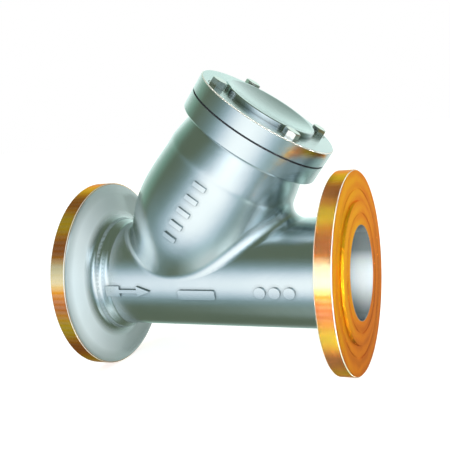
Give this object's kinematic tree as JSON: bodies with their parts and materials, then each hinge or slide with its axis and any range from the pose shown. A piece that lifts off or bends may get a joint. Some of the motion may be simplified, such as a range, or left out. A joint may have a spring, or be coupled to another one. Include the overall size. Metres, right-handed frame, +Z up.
{
  "type": "y strainer",
  "caption": "Flanged cast y strainer: straight pipe run with an inclined branch that holds a screen basket behind a bolted round cover.",
  "frame": {"origin": "centre of the inlet flange's raised face, on the pipe axis", "axes": "+X along the pipe in the flow direction, +Z up on the side the screen branch leans to, +Y across the pipe"},
  "size_m": [0.4, 0.27, 0.4164],
  "materials": {
    "cast_body": "satin silver-blue paint on cast steel, flanges in gold lacquer",
    "cast_cover": "satin silver-blue paint on cast steel",
    "gasket": "matt graphite-filled sheet",
    "screw_steel": "zinc-plated steel",
    "washer_steel": "zinc-plated steel",
    "stainless": "turned stainless steel",
    "screen_steel": "perforated stainless sheet",
    "mesh_wire": "fine woven stainless wire"
  },
  "bodies": {
    "root": {"body": "cast_body", "seat_ring": "stainless"},
    "cover": {"cover": "cast_cover"},
    "gasket": {"cover_gasket": "gasket"},
    "screen": {"screen_tube": "screen_steel", "screen_mesh": "mesh_wire", "screen_bottom_ring": "stainless", "screen_top_ring": "stainless"},
    "washer_1": {"washer_1": "washer_steel"},
    "cover_screw_1": {"cover_screw_1": "screw_steel"},
    "washer_2": {"washer_2": "washer_steel"},
    "cover_screw_2": {"cover_screw_2": "screw_steel"},
    "washer_3": {"washer_3": "washer_steel"},
    "cover_screw_3": {"cover_screw_3": "screw_steel"},
    "washer_4": {"washer_4": "washer_steel"},
    "cover_screw_4": {"cover_screw_4": "screw_steel"}
  },
  "joints": [
    {"name": "cover_lift", "type": "slide", "parent": "root", "child": "cover", "axis": [0.6129, 0, 0.7902], "range_m": [0, 0.48]},
    {"name": "gasket_lift", "type": "slide", "parent": "root", "child": "gasket", "axis": [0.6129, 0, 0.7902], "range_m": [0, 0.42]},
    {"name": "screen_lift", "type": "slide", "parent": "root", "child": "screen", "axis": [0.6129, 0, 0.7902], "range_m": [0, 0.3]},
    {"name": "washer_1_rise", "type": "slide", "parent": "cover", "child": "washer_1", "axis": [0.6129, 0, 0.7902], "range_m": [0, 0.016]},
    {"name": "cover_screw_1_turn", "type": "hinge", "parent": "washer_1", "child": "cover_screw_1", "pos_m": [0.24177, -0.05819, 0.25581], "axis": [0.6129, 0, 0.7902], "range_deg": [0, 3420]},
    {"name": "washer_2_rise", "type": "slide", "parent": "cover", "child": "washer_2", "axis": [0.6129, 0, 0.7902], "range_m": [0, 0.016]},
    {"name": "cover_screw_2_turn", "type": "hinge", "parent": "washer_2", "child": "cover_screw_2", "pos_m": [0.33374, -0.05819, 0.18447], "axis": [0.6129, 0, 0.7902], "range_deg": [0, 3420]},
    {"name": "washer_3_rise", "type": "slide", "parent": "cover", "child": "washer_3", "axis": [0.6129, 0, 0.7902], "range_m": [0, 0.016]},
    {"name": "cover_screw_3_turn", "type": "hinge", "parent": "washer_3", "child": "cover_screw_3", "pos_m": [0.33374, 0.05819, 0.18447], "axis": [0.6129, 0, 0.7902], "range_deg": [0, 3420]},
    {"name": "washer_4_rise", "type": "slide", "parent": "cover", "child": "washer_4", "axis": [0.6129, 0, 0.7902], "range_m": [0, 0.016]},
    {"name": "cover_screw_4_turn", "type": "hinge", "parent": "washer_4", "child": "cover_screw_4", "pos_m": [0.24177, 0.05819, 0.25581], "axis": [0.6129, 0, 0.7902], "range_deg": [0, 3420]}
  ],
  "couplings": [
    {"joint": "gasket_lift", "follows": "cover_lift", "ratio": 0.85},
    {"joint": "screen_lift", "follows": "cover_lift", "ratio": 0.6},
    {"joint": "cover_screw_1_turn", "follows": "washer_1_rise", "rad_per_m": 3590.4},
    {"joint": "cover_screw_2_turn", "follows": "washer_2_rise", "rad_per_m": 3590.4},
    {"joint": "cover_screw_3_turn", "follows": "washer_3_rise", "rad_per_m": 3590.4},
    {"joint": "cover_screw_4_turn", "follows": "washer_4_rise", "rad_per_m": 3590.4}
  ]
}
